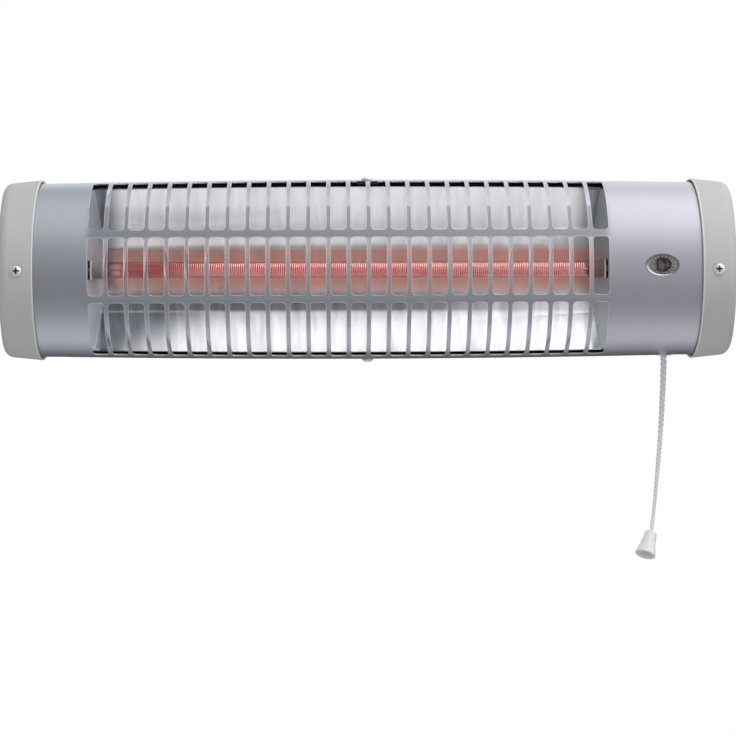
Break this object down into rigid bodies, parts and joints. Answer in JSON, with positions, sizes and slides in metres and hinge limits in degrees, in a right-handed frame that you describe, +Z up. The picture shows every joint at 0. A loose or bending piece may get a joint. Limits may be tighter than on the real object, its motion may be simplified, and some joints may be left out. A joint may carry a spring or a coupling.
{
  "type": "radiant wall heater",
  "caption": "Wall-mounted radiant bar heater: slotted half-round casing, quartz element over a folded reflector, pull-cord switch with indicator window, tilting wall bracket.",
  "frame": {"origin": "middle of the wall bracket's two screw holes, on the wall face", "axes": "+Y points into the wall and the front faces -Y, +X runs along the heater to the pull cord's end, +Z is up"},
  "size_m": [0.5644, 0.1151, 0.295],
  "materials": {
    "casing_paint": "satin metallic",
    "cap_plastic": "fine matt",
    "seal_rubber": "matt",
    "bracket_paint": "satin",
    "zinc_sheet": "zinc plated",
    "bright_steel": "bright plated",
    "spring_steel": "drawn wire",
    "reflector_sheet": "polished",
    "quartz": "clear",
    "glowing_wire": "red hot",
    "ceramic": "unglazed",
    "clear_plastic": "moulded clear",
    "drum_plastic": "printed",
    "switch_plastic": "moulded",
    "white_nylon": "moulded",
    "brass": "plain",
    "cord_fibre": "twisted",
    "knob_plastic": "gloss",
    "wire_brown": "satin",
    "wire_white": "satin",
    "wire_blue": "satin",
    "wire_green": "satin"
  },
  "bodies": {
    "bracket": {"wall_bracket": "bracket_paint", "pivot_bolts": "bright_steel", "pivot_washers": "white_nylon", "wing_nuts": "bright_steel"},
    "housing": {"casing": "casing_paint", "end_cap_left": "cap_plastic", "end_cap_right": "cap_plastic", "cap_seal_left": "seal_rubber", "cap_seal_right": "seal_rubber", "cable_gland": "seal_rubber", "tilt_bracket": "bracket_paint", "back_plate": "zinc_sheet", "end_plate_left": "zinc_sheet", "end_plate_right": "zinc_sheet", "reflector_stays": "zinc_sheet", "tilt_bracket_rivets": "bright_steel", "back_plate_screws": "bright_steel", "casing_screws": "bright_steel", "cap_screws": "bright_steel", "tube_bracket_left": "bright_steel", "tube_bracket_right": "bright_steel", "tube_bracket_rivets": "bright_steel", "terminal_pin_left": "bright_steel", "terminal_pin_right": "bright_steel", "terminal_nuts": "bright_steel", "drum_axle": "bright_steel", "switch_cover_screws": "bright_steel", "switch_screws": "bright_steel", "clamp_screws": "bright_steel", "block_screw": "bright_steel", "lever_spring": "spring_steel", "reflector": "reflector_sheet", "reflector_end_left": "reflector_sheet", "reflector_end_right": "reflector_sheet", "quartz_tube": "quartz", "heating_coil": "glowing_wire", "tube_plug_left": "ceramic", "tube_plug_right": "ceramic", "window_lens": "clear_plastic", "switch_body": "switch_plastic", "switch_cover": "switch_plastic", "cord_grommet": "white_nylon", "cable_clamp": "white_nylon", "terminal_block": "white_nylon", "switch_terminals": "brass", "terminal_screws": "brass", "earth_stud": "brass", "earth_nuts": "brass", "wire_live": "wire_brown", "wire_switched": "wire_white", "wire_neutral": "wire_blue", "wire_earth": "wire_green"},
    "drum": {"indicator_drum": "drum_plastic"},
    "lever": {"pull_lever": "white_nylon", "cord_upper": "cord_fibre"},
    "cord": {"pull_cord": "cord_fibre", "cord_knob": "knob_plastic", "cord_knot": "cord_fibre"}
  },
  "joints": [
    {"name": "tilt", "type": "hinge", "parent": "bracket", "child": "housing", "pos_m": [0, -0.016, 0], "axis": [1, 0, 0], "range_deg": [0, 30]},
    {"name": "drum_turn", "type": "hinge", "parent": "housing", "child": "drum", "pos_m": [0.223, -0.09364, 0.03302], "axis": [1, 0, 0], "continuous": true},
    {"name": "cord_pull", "type": "slide", "parent": "housing", "child": "lever", "axis": [0, 0, -1], "range_m": [0, 0.008], "stiffness_N_per_m": 1000, "springref_m": -0.003, "deforming": ["lever_spring"]},
    {"name": "cord_swing", "type": "hinge", "parent": "lever", "child": "cord", "pos_m": [0.23, -0.04414, -0.0406], "axis": [1, 0, 0], "range_deg": [-30, 0]}
  ],
  "couplings": [
    {"joint": "cord_swing", "follows": "tilt", "ratio": -1}
  ]
}
